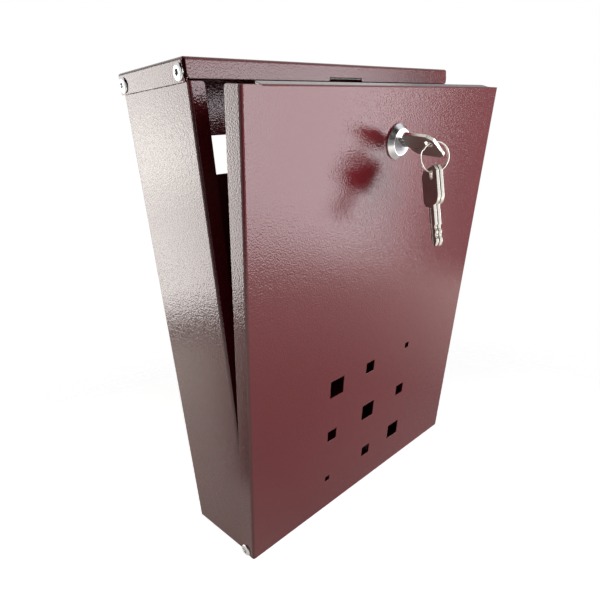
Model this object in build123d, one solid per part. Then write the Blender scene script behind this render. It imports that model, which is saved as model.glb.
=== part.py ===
"""Wall mounted mailbox of folded, powder coated sheet steel.

X runs to the right as seen from the front, Y from the front to the wall, Z up. The origin is the centre of
the four wall holes on the back face. The drop-front door is drawn shut, then tipped to the angle where it
stands ajar, with the lock, the key and the key ring on it.
"""
import math
import os

from build123d import *

# Overall sizes of the folded box
HEIGHT = 345.0
BODY_WIDTH = 254.0
BODY_DEPTH = 75.0
SHEET = 1.0
BEND = 1.0
CORNER_RADIUS = 2.0
WALL_TOP_GAP = 0.3

# Body shell: front returns, flange along the top of the back wall, mail slot in the back, wall holes
RETURN_WIDTH = 10.5
RETURN_GAP = 1.0
RETURN_FOOT = 6.0
BACK_FLANGE = 9.0
BACK_FLANGE_RELIEF = 3.0
SLOT_WIDTH = 210.0
SLOT_HEIGHT = 27.0
SLOT_DROP = 52.5
WALL_HOLE_DIAMETER = 6.5
WALL_HOLE_SPACING_X = 190.0
WALL_HOLE_SPACING_Z = 200.0
WALL_HOLE_HEIGHT = 140.0

# Bottom tray
TRAY_FLANGE = 12.0
TRAY_SIDE_GAP = 1.2
TRAY_FRONT_SETBACK = 1.4
TRAY_FLANGE_START = 14.0
TRAY_FLANGE_END = 6.0

# Lid
LID_SIDE_FLANGE = 12.3
LID_FRONT_FLANGE = 10.7
LID_SIDE_GAP = 0.6
LID_SIDE_SETBACK = 2.0
NOTCH_WIDTH = 33.0
NOTCH_HEIGHT = 2.2

# Door
DOOR_AJAR = 7.9
DOOR_TOP_GAP = 3.1
DOOR_SIDE_GAP = 0.5
DOOR_FRONT_GAP = 0.4
DOOR_FLANGE = 13.2
DOOR_TOP_FLANGE = 7.0
DOOR_TOP_FLANGE_RISE = 12.0
DOOR_TOP_BEND = 0.4
DOOR_TOP_FLANGE_GAP = 1.5
PIVOT_SETBACK = 7.5
PIVOT_FLOOR_GAP = 0.4

# Nine sight holes in the door
HOLES_HEIGHT = 80.0
HOLES_FRAME = 100.0
HOLE_LARGE = 15.0
HOLE_MEDIUM = 10.0
HOLE_SMALL = 5.0

# Blind rivets
RIVET_DIAMETER = 4.0
RIVET_HEAD_DIAMETER = 9.4
RIVET_HEAD_HEIGHT = 1.5
RIVET_RIM = 0.3
RIVET_BULB_DIAMETER = 5.2
RIVET_BULB_LENGTH = 3.6
RIVET_FIT = 0.05
STEM_DIAMETER = 2.6
STEM_RECESS = 1.2
STEM_HEAD_DIAMETER = 3.6
STEM_HEAD_LENGTH = 1.4
LID_RIVET_SETBACK = 5.5
LID_RIVET_REAR = 4.8
LID_RIVET_DROP = 7.2
PIVOT_PLAY = 0.2

# Cam lock: heights are measured outwards from the door's outer face
LOCK_DROP = 33.0
LOCK_SIDE = 1.5
BEZEL_DIAMETER = 22.8
BEZEL_FACE_DIAMETER = 17.0
BEZEL_HEIGHT = 4.2
BEZEL_RIM = 1.0
BARREL_DIAMETER = 18.0
BARREL_FLATS = 16.0
PLUG_WALL = 3.6
BARREL_HOLE_FIT = 0.15
PLUG_DIAMETER = 12.0
PLUG_FIT = 0.05
PLUG_DISC_DIAMETER = 14.8
PLUG_DISC_HEIGHT = 1.3
PLUG_DISC_GAP = 0.1
TAIL_SQUARE = 7.0
TAIL_FIT = 0.05
RUN_GAP = 0.2
LUG_HEIGHT = 1.0
LUG_HALF_ANGLE = 20.0
LUG_INSET = 0.4
STOP_THICKNESS = 1.0
STOP_DIAMETER = 17.0
STOP_PLAY_ANGLE = 2.0
LOCK_TURN = 90.0
NUT_ACROSS_FLATS = 22.0
NUT_THICKNESS = 3.5
THREAD_FIT = 0.05
LOCK_WASHER_DIAMETER = 25.0
LOCK_WASHER_THICKNESS = 0.8
LOCK_WASHER_TEETH = 16
LOCK_WASHER_TOOTH_DEPTH = 1.6

# Cam and its screw
CAM_OVERLAP = 6.0
CAM_WIDTH = 14.0
CAM_THICKNESS = 2.0
CAM_PASS = 2.2
CAM_CRANK_START = 12.0
CAM_CRANK_RUN = 11.0
CAM_BEND = 1.5
SCREW_DIAMETER = 5.0
SCREW_HEAD_DIAMETER = 9.0
SCREW_HEAD_HEIGHT = 2.6
SCREW_WALL = 1.6
SCREW_RECESS_WIDTH = 1.2
SCREW_RECESS_DEPTH = 1.2
CAM_WASHER_DIAMETER = 11.0
CAM_WASHER_THICKNESS = 0.8

# Wafers inside the plug
WAFER_COUNT = 5
WAFER_PITCH = 2.6
WAFER_FIRST = -3.5
WAFER_THICKNESS = 1.0
WAFER_WIDTH = 6.6
WAFER_GAP = 0.1
WAFER_LUG_WIDTH = 1.5
WAFER_LUG_HEIGHT = 1.2
SPRING_DIAMETER = 1.2
SPRING_LENGTH = 2.8

# Flat keys, one in the lock and two on the ring
KEY_TURN = 33.0
KEY_THICKNESS = 2.0
KEY_BOW_WIDTH = 24.5
KEY_BOW_LENGTH = 24.0
KEY_BOW_CHAMFER = 3.5
KEY_SHOULDER_RADIUS = 6.0
KEY_SHOULDER_HEIGHT = 8.4
KEY_BLADE_WIDTH = 8.0
KEY_BLADE_LENGTH = 26.0
KEY_TIP_CHAMFER = 2.4
KEY_HOLE_DIAMETER = 6.0
KEY_HOLE_OFFSET = 4.0
KEY_HOLE_DROP = 5.3
KEY_CUT_DEPTHS = (0.9, 1.6, 0.7, 1.4, 1.0)
KEY_CUT_FLOOR = 0.9
KEYWAY_SIDE_GAP = 0.15
KEYWAY_EDGE_GAP = 0.2
KEYWAY_END_GAP = 0.6

# Split ring of two turns
RING_RADIUS = 9.2
RING_WIRE = 0.9
RING_TURN_GAP = 0.45
RING_CROSSING_ANGLE = 60.0
RING_AZIMUTH = 55.0
RING_LEAN = 22.8
RING_HOLE_GAP = 0.65
SPARE_KEY_GAP = 0.5
SPARE_HOLE_GAP = 1.0

# Places that follow from the sizes
FRONT = -BODY_DEPTH
BOTTOM = -WALL_HOLE_HEIGHT
TOP = BOTTOM + HEIGHT
HALF_WIDTH = BODY_WIDTH / 2
FOLD = SHEET + BEND
WALL_TOP = TOP - SHEET - WALL_TOP_GAP
LID_FRONT_BOTTOM = TOP - LID_FRONT_FLANGE
RETURN_TOP = LID_FRONT_BOTTOM - RETURN_GAP
DOOR_TOP = LID_FRONT_BOTTOM - DOOR_TOP_GAP
DOOR_BACK = FRONT - DOOR_FRONT_GAP
DOOR_FACE = DOOR_BACK - SHEET
DOOR_HALF_WIDTH = HALF_WIDTH + DOOR_SIDE_GAP + SHEET
LID_HALF_WIDTH = HALF_WIDTH + LID_SIDE_GAP + SHEET
RETURN_INNER = HALF_WIDTH - RETURN_WIDTH
PIVOT_HEIGHT = SHEET + RIVET_BULB_DIAMETER / 2 + PIVOT_FLOOR_GAP
PIVOT = Vector(0, FRONT + PIVOT_SETBACK, BOTTOM + PIVOT_HEIGHT)
RIVET_HOLE_RADIUS = RIVET_DIAMETER / 2 + RIVET_FIT
LID_RIVET_Z = TOP - LID_RIVET_DROP
LID_RIVET_PLACES = [(FRONT + LID_RIVET_SETBACK, LID_RIVET_Z), (-LID_RIVET_REAR, LID_RIVET_Z)]
KEY_TIP = KEY_SHOULDER_HEIGHT - KEY_BLADE_LENGTH
KEYWAY_END = KEY_TIP - KEYWAY_END_GAP
BARREL_END = KEYWAY_END - PLUG_WALL
PLUG_END = BARREL_END - RUN_GAP
CAM_FRONT = PLUG_END - STOP_THICKNESS
CAM_BACK = CAM_FRONT - CAM_THICKNESS
CAM_CRANK = -DOOR_TOP_FLANGE - CAM_PASS - CAM_FRONT
CAM_LENGTH = LOCK_DROP + DOOR_TOP_GAP + CAM_OVERLAP
RING_SEAT = KEY_HOLE_DIAMETER / 2 - RING_WIRE - RING_TURN_GAP / 2 - KEY_THICKNESS / 2 - RING_HOLE_GAP
SPARE_KEY_SEAT = KEY_HOLE_DIAMETER / 2 - RING_WIRE / 2 - SPARE_HOLE_GAP
SCREW_SEAT = CAM_BACK - CAM_WASHER_THICKNESS
SCREW_END = KEYWAY_END - SCREW_WALL
UPWARD = (Align.CENTER, Align.CENTER, Align.MIN)
DOWNWARD = (Align.CENTER, Align.CENTER, Align.MAX)

# Door tipped about its pivots, the lock's own frame, and the plug's frame turned with the key
TIP = Pos(PIVOT) * Rot(DOOR_AJAR, 0, 0) * Pos(-PIVOT)
LOCK = TIP * Plane((LOCK_SIDE, DOOR_FACE, DOOR_TOP - LOCK_DROP), x_dir=(1, 0, 0), z_dir=(0, -1, 0)).location
TURNED = LOCK * Rot(0, 0, -KEY_TURN)


def folded(points, thickness=SHEET, inside=BEND):
    """Section of a folded strip: the points follow its outer skin, with the metal on their left."""
    skin = FilletPolyline(*points, radius=inside + thickness)
    return make_face(offset(skin, amount=thickness, side=Side.LEFT))


def slab(low, high):
    """Box between two corners."""
    size = [b - a for a, b in zip(low, high)]
    return Pos(*low) * Box(*size, align=(Align.MIN, Align.MIN, Align.MIN))


def across(section, half_width):
    """Solid of a section drawn in Y and Z, as wide as the box needs."""
    return extrude(Plane.YZ * section, amount=half_width, both=True)


def side_bore(x, y, z, radius, length):
    """Round bar along X, for holes in the side walls and flanges."""
    return Pos(x, y, z) * Rot(0, 90, 0) * Cylinder(radius, length)


def both_sides(place, radius, reach):
    """Hole bars through the left and the right side at one place."""
    y, z = place
    return [side_bore(sign * HALF_WIDTH, y, z, radius, 2 * reach) for sign in (-1, 1)]


def round_corners(solid, direction, radius, wanted):
    """Round the straight edges along one direction whose middle is wanted."""
    edges = [edge for edge in solid.edges().filter_by(direction) if wanted(edge.center())]
    return fillet(edges, radius)


def close_to(value, target):
    return abs(value - target) < 0.01


def body_shell():
    """Back wall with a flange along its top, two sides and the two front returns, folded from one sheet."""
    section = folded([
        (RETURN_INNER, FRONT), (HALF_WIDTH, FRONT), (HALF_WIDTH, 0),
        (-HALF_WIDTH, 0), (-HALF_WIDTH, FRONT), (-RETURN_INNER, FRONT),
    ])
    shell = Pos(0, 0, BOTTOM) * extrude(section, WALL_TOP - BOTTOM)
    over = HALF_WIDTH + SHEET
    shell -= slab((-over, FRONT - SHEET, RETURN_TOP), (over, FRONT + FOLD, TOP))
    shell -= slab((-over, FRONT - SHEET, BOTTOM - SHEET), (over, FRONT + FOLD, BOTTOM + RETURN_FOOT))
    ends = (RETURN_TOP, BOTTOM + RETURN_FOOT)
    shell = round_corners(
        shell, Axis.Y, CORNER_RADIUS,
        lambda c: close_to(abs(c.X), RETURN_INNER) and any(close_to(c.Z, end) for end in ends),
    )
    half = HALF_WIDTH - FOLD - BACK_FLANGE_RELIEF
    shell -= slab((-half, -SHEET, WALL_TOP - FOLD), (half, SHEET, WALL_TOP + SHEET))
    flange = across(folded([(0, WALL_TOP - 2 * FOLD), (0, WALL_TOP), (-BACK_FLANGE, WALL_TOP)]), half)
    shell += round_corners(flange, Axis.Z, CORNER_RADIUS, lambda c: close_to(c.Y, -BACK_FLANGE))
    slot = Plane.XZ * Pos(0, TOP - SLOT_DROP) * RectangleRounded(SLOT_WIDTH, SLOT_HEIGHT, CORNER_RADIUS)
    shell -= extrude(slot, 2 * SHEET, both=True)
    pattern = GridLocations(WALL_HOLE_SPACING_X, WALL_HOLE_SPACING_Z, 2, 2)
    holes = Sketch() + pattern * Circle(WALL_HOLE_DIAMETER / 2)
    shell -= extrude(Plane.XZ * holes, 2 * SHEET, both=True)
    for place in LID_RIVET_PLACES + [(PIVOT.Y, PIVOT.Z)]:
        shell -= both_sides(place, RIVET_HOLE_RADIUS, 2 * SHEET)
    return shell


def bottom_tray():
    """Floor pan with upturned edges that stand inside the shell."""
    inside = HALF_WIDTH - SHEET
    front = FRONT + TRAY_FRONT_SETBACK
    lip_top = BOTTOM + TRAY_FLANGE
    tray = across(
        folded([(front, lip_top), (front, BOTTOM), (-SHEET, BOTTOM), (-SHEET, lip_top)]),
        inside - TRAY_SIDE_GAP,
    )
    sides = folded([(-inside, lip_top), (-inside, BOTTOM), (inside, BOTTOM), (inside, lip_top)])
    start = FRONT + TRAY_FLANGE_START
    tray += extrude(Plane.XZ.offset(TRAY_FLANGE_END) * sides, -TRAY_FLANGE_END - start)
    return tray


def lid():
    """Cap over the body: side flanges outside the walls and a notched front flange above the door."""
    flange_bottom = TOP - LID_SIDE_FLANGE
    sides = folded([
        (LID_HALF_WIDTH, flange_bottom), (LID_HALF_WIDTH, TOP),
        (-LID_HALF_WIDTH, TOP), (-LID_HALF_WIDTH, flange_bottom),
    ])
    cap = extrude(Plane.XZ * sides, BODY_DEPTH - LID_SIDE_SETBACK)
    front = across(folded([(0, TOP), (FRONT, TOP), (FRONT, LID_FRONT_BOTTOM)]), HALF_WIDTH)
    front -= slab((-NOTCH_WIDTH / 2, FRONT - SHEET, LID_FRONT_BOTTOM - SHEET),
                  (NOTCH_WIDTH / 2, FRONT + FOLD, LID_FRONT_BOTTOM + NOTCH_HEIGHT))
    front = round_corners(
        front, Axis.Y, CORNER_RADIUS,
        lambda c: close_to(abs(c.X), HALF_WIDTH) and close_to(c.Z, LID_FRONT_BOTTOM),
    )
    front = round_corners(
        front, Axis.Y, SHEET,
        lambda c: close_to(abs(c.X), NOTCH_WIDTH / 2) and close_to(c.Z, LID_FRONT_BOTTOM),
    )
    cap += front
    for place in LID_RIVET_PLACES:
        cap -= both_sides(place, RIVET_HOLE_RADIUS, LID_HALF_WIDTH - HALF_WIDTH + SHEET)
    return cap


def barrel_section(gap=0.0):
    """Round lock barrel with two flats, in the lock's frame."""
    flats = BARREL_FLATS + 2 * gap
    return Circle(BARREL_DIAMETER / 2 + gap) & Rectangle(flats, BARREL_DIAMETER + 2 * SHEET)


def sight_holes():
    """Nine squares lined up on a square frame: large on one diagonal, small at the other two corners."""
    squares = Sketch()
    for row in range(3):
        for column in range(3):
            if row == column:
                side = HOLE_LARGE
            elif row + column == 2:
                side = HOLE_SMALL
            else:
                side = HOLE_MEDIUM
            x_reach = HOLES_FRAME - side if column != 1 else HOLE_LARGE - side
            z_reach = HOLES_FRAME - side if row != 1 else HOLE_LARGE - side
            x_step = column - 1 if column != 1 else row - 1
            z_step = 1 - row if row != 1 else column - 1
            squares += Pos(x_step * x_reach / 2, z_step * z_reach / 2) * Rectangle(side, side)
    return squares


def shut_door():
    """Drop-front door: panel, two side flanges outside the body and a short top flange that rises to the rear."""
    rear = DOOR_FACE + DOOR_FLANGE
    section = folded([
        (DOOR_HALF_WIDTH, rear), (DOOR_HALF_WIDTH, DOOR_FACE),
        (-DOOR_HALF_WIDTH, DOOR_FACE), (-DOOR_HALF_WIDTH, rear),
    ][::-1])
    door = Pos(0, 0, BOTTOM) * extrude(section, DOOR_TOP - BOTTOM)
    door = round_corners(
        door, Axis.X, CORNER_RADIUS,
        lambda c: close_to(c.Y, rear) and abs(c.X) > HALF_WIDTH,
    )
    half = RETURN_INNER - DOOR_TOP_FLANGE_GAP
    fold = SHEET + DOOR_TOP_BEND
    door -= slab((-half, DOOR_FACE - SHEET, DOOR_TOP - fold), (half, DOOR_FACE + FOLD, DOOR_TOP + SHEET))
    slope = math.radians(DOOR_TOP_FLANGE_RISE)
    rear_edge = (DOOR_FACE + DOOR_TOP_FLANGE * math.cos(slope), DOOR_TOP + DOOR_TOP_FLANGE * math.sin(slope))
    hook = [rear_edge, (DOOR_FACE, DOOR_TOP), (DOOR_FACE, DOOR_TOP - fold - SHEET)]
    top = across(folded(hook, inside=DOOR_TOP_BEND), half)
    through_sheet = Axis((0, 0, 0), (0, -math.sin(slope), math.cos(slope)))
    top = round_corners(
        top, through_sheet, CORNER_RADIUS,
        lambda c: close_to(abs(c.X), half) and c.Y > DOOR_FACE + FOLD,
    )
    door += top
    face = Plane.XZ.offset(-DOOR_FACE)
    door -= extrude(face * Pos(0, BOTTOM + HOLES_HEIGHT) * sight_holes(), 2 * SHEET, both=True)
    barrel = barrel_section(BARREL_HOLE_FIT)
    door -= extrude(face * Pos(LOCK_SIDE, DOOR_TOP - LOCK_DROP) * barrel, 2 * SHEET, both=True)
    door -= both_sides((PIVOT.Y, PIVOT.Z), RIVET_HOLE_RADIUS, DOOR_HALF_WIDTH - HALF_WIDTH + SHEET)
    return door


def blind_rivet(grip):
    """Set rivet: domed head above Z 0, shank through the grip, bulb on the blind side."""
    bore = STEM_DIAMETER / 2 + RIVET_FIT
    head = RIVET_HEAD_DIAMETER / 2
    end = -grip - RIVET_BULB_LENGTH
    middle = (bore + (head - bore) * 0.62, RIVET_RIM + (RIVET_HEAD_HEIGHT - RIVET_RIM) * 0.72)
    outline = Curve() + [
        Polyline((bore, RIVET_HEAD_HEIGHT), (bore, end), (RIVET_BULB_DIAMETER / 2, end),
                 (RIVET_BULB_DIAMETER / 2, -grip), (RIVET_DIAMETER / 2, -grip), (RIVET_DIAMETER / 2, 0),
                 (head, 0), (head, RIVET_RIM)),
        ThreePointArc((head, RIVET_RIM), middle, (bore, RIVET_HEAD_HEIGHT)),
    ]
    return revolve(Plane.XZ * make_face(outline), Axis.Z)


def rivet_stem(grip):
    """What stays of the drawn stem: a pin in the rivet's bore with its head against the bulb."""
    end = -grip - RIVET_BULB_LENGTH
    top = RIVET_HEAD_HEIGHT - STEM_RECESS
    pin = Pos(0, 0, end) * Cylinder(STEM_DIAMETER / 2, top - end, align=UPWARD)
    head = Pos(0, 0, end) * Cylinder(STEM_HEAD_DIAMETER / 2, STEM_HEAD_LENGTH, align=DOWNWARD)
    return pin + fillet(head.edges().sort_by(Axis.Z)[0], STEM_HEAD_LENGTH / 2)


def on_sides(solid, places, seat):
    """Copies of a rivet or stem on both sides, heads outwards, seated at a distance from the middle."""
    copies = []
    for y, z in places:
        copies += [Pos(sign * seat, y, z) * Rot(0, sign * 90, 0) * solid for sign in (-1, 1)]
    return Compound(children=copies)


def lock_housing():
    """Bezel with a conical side, barrel with flats, and the stop lug at the barrel's end."""
    bore = PLUG_DIAMETER / 2 + PLUG_FIT
    recess = PLUG_DISC_DIAMETER / 2 + PLUG_DISC_GAP
    seat = BEZEL_HEIGHT - PLUG_DISC_HEIGHT - PLUG_DISC_GAP
    bezel = make_face(Polyline(
        (bore, 0), (BEZEL_DIAMETER / 2, 0), (BEZEL_DIAMETER / 2, BEZEL_RIM),
        (BEZEL_FACE_DIAMETER / 2, BEZEL_HEIGHT), (recess, BEZEL_HEIGHT),
        (recess, seat), (bore, seat), close=True,
    ))
    housing = revolve(Plane.XZ * bezel, Axis.Z)
    housing += Pos(0, 0, BARREL_END) * extrude(barrel_section() - Circle(bore), -BARREL_END)
    ring = Circle(BARREL_DIAMETER / 2 - LUG_INSET) - Circle(bore + LUG_INSET)
    lug = ring & sector(90 - LUG_HALF_ANGLE, 90 + LUG_HALF_ANGLE)
    housing += Pos(0, 0, BARREL_END - LUG_HEIGHT) * extrude(lug, LUG_HEIGHT)
    return LOCK * housing


def sector(start, end):
    """Wide wedge between two angles, to cut rings with."""
    reach = BODY_WIDTH
    first = (reach * math.cos(math.radians(start)), reach * math.sin(math.radians(start)))
    last = (reach * math.cos(math.radians(end)), reach * math.sin(math.radians(end)))
    middle = math.radians((start + end) / 2)
    far = (2 * reach * math.cos(middle), 2 * reach * math.sin(middle))
    return make_face(Polyline((0, 0), first, far, last, close=True))


def lock_washer():
    """Toothed washer between the door panel and the nut."""
    radius = LOCK_WASHER_DIAMETER / 2
    gap_width = math.pi * radius / LOCK_WASHER_TEETH
    gaps = PolarLocations(radius, LOCK_WASHER_TEETH) * Rectangle(2 * LOCK_WASHER_TOOTH_DEPTH, gap_width)
    section = Circle(radius) - gaps - barrel_section(BARREL_HOLE_FIT)
    return LOCK * Pos(0, 0, -SHEET - LOCK_WASHER_THICKNESS) * extrude(section, LOCK_WASHER_THICKNESS)


def lock_nut():
    """Thin hexagon nut that pulls the bezel against the door."""
    section = RegularPolygon(NUT_ACROSS_FLATS / 2, 6, major_radius=False)
    section -= Circle(BARREL_DIAMETER / 2 + THREAD_FIT)
    seat = -SHEET - LOCK_WASHER_THICKNESS - NUT_THICKNESS
    return LOCK * Pos(0, 0, seat) * extrude(section, NUT_THICKNESS)


def wafer_heights():
    return [WAFER_FIRST - index * WAFER_PITCH for index in range(WAFER_COUNT)]


def spring_side(index):
    """Wafers are sprung on alternate sides."""
    return 1 if index % 2 == 0 else -1


def lock_plug():
    """Turning plug: front disc, keyway, wafer slots and the square tail that carries the cam."""
    top = BEZEL_HEIGHT - PLUG_DISC_GAP
    disc_low = top - PLUG_DISC_HEIGHT + PLUG_DISC_GAP
    plug = Pos(0, 0, PLUG_END) * extrude(Circle(PLUG_DIAMETER / 2), top - PLUG_END)
    plug += Pos(0, 0, disc_low) * extrude(Circle(PLUG_DISC_DIAMETER / 2), top - disc_low)
    tail_end = CAM_BACK + TAIL_FIT
    plug += Pos(0, 0, tail_end) * extrude(Rectangle(TAIL_SQUARE, TAIL_SQUARE), PLUG_END - tail_end)
    keyway = Rectangle(KEY_BLADE_WIDTH + 2 * KEYWAY_EDGE_GAP, KEY_THICKNESS + 2 * KEYWAY_SIDE_GAP)
    plug -= Pos(0, 0, KEYWAY_END) * extrude(keyway, top - KEYWAY_END + SHEET)
    for index, height in enumerate(wafer_heights()):
        deep = WAFER_THICKNESS + 2 * WAFER_GAP
        plug -= Pos(0, 0, height) * Box(PLUG_DIAMETER + 2, WAFER_WIDTH + 2 * WAFER_GAP, deep)
        lug_y = spring_side(index) * (WAFER_WIDTH + WAFER_LUG_WIDTH) / 2
        pocket_low = -SPRING_LENGTH - WAFER_GAP
        pocket_high = WAFER_LUG_HEIGHT + WAFER_GAP
        plug -= Pos((pocket_low + pocket_high) / 2, lug_y, height) * Box(
            pocket_high - pocket_low, WAFER_LUG_WIDTH + 2 * WAFER_GAP, deep + 2 * WAFER_GAP)
    thread = SCREW_DIAMETER / 2 + THREAD_FIT
    plug -= Pos(0, 0, tail_end) * Cylinder(thread, SCREW_END + RUN_GAP - tail_end, align=UPWARD)
    return TURNED * plug


def lock_wafers():
    """Spring loaded plates; the key passes through their windows and holds them flush with the plug."""
    window_width = KEY_THICKNESS + 2 * KEYWAY_SIDE_GAP
    window_height = KEY_BLADE_WIDTH + 2 * KEYWAY_EDGE_GAP
    wafers = []
    for index, height in enumerate(wafer_heights()):
        outline = Circle(PLUG_DIAMETER / 2 - WAFER_GAP) & Rectangle(PLUG_DIAMETER, WAFER_WIDTH)
        lug_y = spring_side(index) * (WAFER_WIDTH + WAFER_LUG_WIDTH) / 2
        outline += Pos(WAFER_LUG_HEIGHT / 2, lug_y) * Rectangle(WAFER_LUG_HEIGHT, WAFER_LUG_WIDTH)
        outline -= Rectangle(window_height, window_width)
        wafers.append(TURNED * Pos(0, 0, height - WAFER_THICKNESS / 2) * extrude(outline, WAFER_THICKNESS))
    return Compound(children=wafers)


def wafer_springs():
    """One small spring under each wafer's lug, as a plain tube of the coil's size."""
    springs = []
    wire = SPRING_DIAMETER / 6
    for index, height in enumerate(wafer_heights()):
        lug_y = spring_side(index) * (WAFER_WIDTH + WAFER_LUG_WIDTH) / 2
        coil = Circle(SPRING_DIAMETER / 2) - Circle(SPRING_DIAMETER / 2 - wire)
        tube = Rot(0, -90, 0) * extrude(coil, SPRING_LENGTH)
        springs.append(TURNED * Pos(0, lug_y, height) * tube)
    return Compound(children=springs)


def stop_washer():
    """Plate on the plug's tail with an open sector; its ends meet the barrel's lug and limit the turn."""
    section = Circle(STOP_DIAMETER / 2) - Rectangle(TAIL_SQUARE + 2 * TAIL_FIT, TAIL_SQUARE + 2 * TAIL_FIT)
    margin = LUG_HALF_ANGLE + STOP_PLAY_ANGLE
    open_ring = Circle(STOP_DIAMETER) - Circle(PLUG_DIAMETER / 2)
    section -= open_ring & sector(90 - margin, 90 + LOCK_TURN + margin)
    return TURNED * Pos(0, 0, CAM_FRONT) * extrude(section, STOP_THICKNESS)


def lock_cam():
    """Cranked tongue that swings up behind the lid's front flange."""
    hub = CAM_WIDTH / 2 + SHEET
    bend_end = CAM_CRANK_START + CAM_CRANK_RUN
    side = folded([
        (hub, CAM_BACK), (-CAM_CRANK_START, CAM_BACK),
        (-bend_end, CAM_BACK + CAM_CRANK), (-CAM_LENGTH, CAM_BACK + CAM_CRANK),
    ][::-1], CAM_THICKNESS, CAM_BEND)
    cam = extrude(Plane.XZ * side, hub, both=True)
    tip = CAM_WIDTH / 2
    outline = Circle(hub) + Pos(-CAM_LENGTH + tip) * Circle(tip) + Pos((tip - CAM_LENGTH) / 2) * Rectangle(
        CAM_LENGTH - tip, CAM_WIDTH)
    outline -= Rectangle(TAIL_SQUARE + 2 * TAIL_FIT, TAIL_SQUARE + 2 * TAIL_FIT)
    cam &= Pos(0, 0, CAM_BACK - SHEET) * extrude(outline, CAM_CRANK + CAM_THICKNESS + 2 * SHEET)
    return TURNED * cam


def cam_washer():
    section = Circle(CAM_WASHER_DIAMETER / 2) - Circle(SCREW_DIAMETER / 2 + THREAD_FIT)
    return TURNED * Pos(0, 0, SCREW_SEAT) * extrude(section, CAM_WASHER_THICKNESS)


def cam_screw():
    """Pan head screw with a cross recess, into the plug's tail."""
    head = Pos(0, 0, SCREW_SEAT) * Cylinder(SCREW_HEAD_DIAMETER / 2, SCREW_HEAD_HEIGHT, align=DOWNWARD)
    head = fillet(head.edges().sort_by(Axis.Z)[0], SCREW_HEAD_HEIGHT / 2)
    arm = SCREW_HEAD_DIAMETER / 2
    cross = Rectangle(arm, SCREW_RECESS_WIDTH) + Rectangle(SCREW_RECESS_WIDTH, arm)
    head -= Pos(0, 0, SCREW_SEAT - SCREW_HEAD_HEIGHT) * extrude(cross, SCREW_RECESS_DEPTH)
    head += Pos(0, 0, SCREW_SEAT) * Cylinder(SCREW_DIAMETER / 2, SCREW_END - SCREW_SEAT, align=UPWARD)
    return TURNED * head


def flat_key():
    """Stamped key: width along X, thickness along Y, bow up, with its shoulder at Z 0."""
    bow = Pos(0, KEY_BOW_LENGTH / 2) * Rectangle(KEY_BOW_WIDTH, KEY_BOW_LENGTH)
    bow = chamfer(bow.vertices().group_by(Axis.Y)[-1], KEY_BOW_CHAMFER)
    bow = fillet(bow.vertices().group_by(Axis.Y)[0], KEY_SHOULDER_RADIUS)
    overlap = KEY_SHOULDER_RADIUS
    blade = Rectangle(KEY_BLADE_WIDTH, KEY_BLADE_LENGTH + overlap)
    blade = Pos(0, (overlap - KEY_BLADE_LENGTH) / 2) * blade
    blade = chamfer(blade.vertices().group_by(Axis.Y)[0], KEY_TIP_CHAMFER)
    outline = bow + blade
    for index, depth in enumerate(KEY_CUT_DEPTHS):
        height = WAFER_FIRST - index * WAFER_PITCH - KEY_SHOULDER_HEIGHT
        side = spring_side(index)
        edge = side * KEY_BLADE_WIDTH / 2
        floor = KEY_CUT_FLOOR / 2
        outline -= make_face(Polyline(
            (edge - side * depth, height - floor), (edge - side * depth, height + floor),
            (edge, height + floor + depth), (edge + side * SHEET, height + floor + depth),
            (edge + side * SHEET, height - floor - depth), (edge, height - floor - depth), close=True,
        ))
    outline -= Pos(-KEY_HOLE_OFFSET, KEY_BOW_LENGTH - KEY_HOLE_DROP) * Circle(KEY_HOLE_DIAMETER / 2)
    return extrude(Plane.XZ * outline, KEY_THICKNESS / 2, both=True)


def ring_path():
    """Centre line of the split ring about Z: one turn low, a short crossing, one turn high."""
    step = (RING_WIRE + RING_TURN_GAP) / 2
    half = RING_CROSSING_ANGLE / 2
    sweep_angle = (360 - RING_CROSSING_ANGLE) / 2

    def spot(angle, height, radius=RING_RADIUS):
        turn = math.radians(angle)
        return Vector(radius * math.cos(turn), radius * math.sin(turn), height)

    turns = []
    for height in (-step, step):
        for start in (half, 180):
            turns.append(ThreePointArc(spot(start, height), spot(start + sweep_angle / 2, height),
                                       spot(start + sweep_angle, height)))
    middle = spot(0, 0, math.hypot(RING_RADIUS, step))
    tangent = spot(90 - half, 0, 1)
    into = TangentArc(spot(-half, -step), middle, tangent=tangent)
    out = TangentArc(middle, spot(half, step), tangent=into % 1)
    return Wire(turns[:2] + [into, out] + turns[2:])


def print_ring_gap(path):
    """Least clear gap between the ring's two turns, measured on points along the wire."""
    count = 720
    points = [path @ (index / count) for index in range(count + 1)]
    apart = int(count * 4 * RING_WIRE / path.length)
    least = min((a - b).length for i, a in enumerate(points) for b in points[i + apart:])
    print(f"split ring: least gap between turns {least - RING_WIRE:.2f} mm")


def ring_frame():
    """Frame of the ring, Z along its axis and X up; it hangs from the hole of the key in the lock."""
    azimuth = math.radians(RING_AZIMUTH)
    axis = Vector(math.cos(azimuth), math.sin(azimuth), 0)
    level = Vector(axis.Y, -axis.X, 0)
    lean = math.radians(RING_LEAN)
    to_contact = Vector(0, 0, math.cos(lean)) - level * math.sin(lean)
    hole = TURNED * Pos(-KEY_HOLE_OFFSET, 0, KEY_SHOULDER_HEIGHT + KEY_BOW_LENGTH - KEY_HOLE_DROP)
    contact = hole.position - to_contact * RING_SEAT
    frame = Plane(contact - to_contact * RING_RADIUS, x_dir=(0, 0, 1), z_dir=axis)
    tangent = level * math.cos(lean) + Vector(0, 0, math.sin(lean))
    return frame, contact, tangent


def split_ring():
    path = ring_path()
    print_ring_gap(path)
    section = Plane(path @ 0, z_dir=path % 0) * Circle(RING_WIRE / 2)
    ring = sweep(section, path=path)
    print(f"split ring: volume over section times length {ring.volume / (section.area * path.length):.4f}")
    frame, _, _ = ring_frame()
    return frame.location * Rot(0, 0, -90) * ring


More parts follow.
